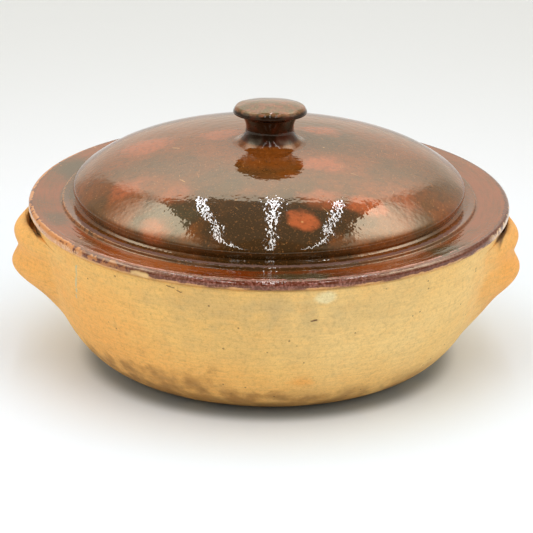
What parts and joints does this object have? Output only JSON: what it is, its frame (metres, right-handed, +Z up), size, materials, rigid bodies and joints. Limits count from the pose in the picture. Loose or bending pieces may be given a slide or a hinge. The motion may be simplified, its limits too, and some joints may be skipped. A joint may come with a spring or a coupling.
{
  "type": "lidded casserole dish",
  "caption": "Round earthenware casserole with a wide flanged, domed and glazed lid, a flat knob on top and a lobed ear handle on each side of the unglazed bowl.",
  "frame": {"origin": "on the bowl's axis, at the face it stands on", "axes": "+X to the right ear handle, +Y away from the viewer, +Z up"},
  "size_m": [0.3174, 0.3004, 0.1653],
  "materials": {
    "clay": "bare fired yellow clay, matt",
    "glaze": "brown lead-type glaze, glossy"
  },
  "bodies": {
    "dish_body": {"dish": "clay", "left_handle": "clay", "right_handle": "clay"},
    "lid_body": {"lid": "glaze", "lid_knob": "glaze"}
  },
  "joints": [
    {"name": "lid_lift", "type": "slide", "parent": "dish_body", "child": "lid_body", "axis": [0, 0, 1], "range_m": [0, 0.15]}
  ]
}
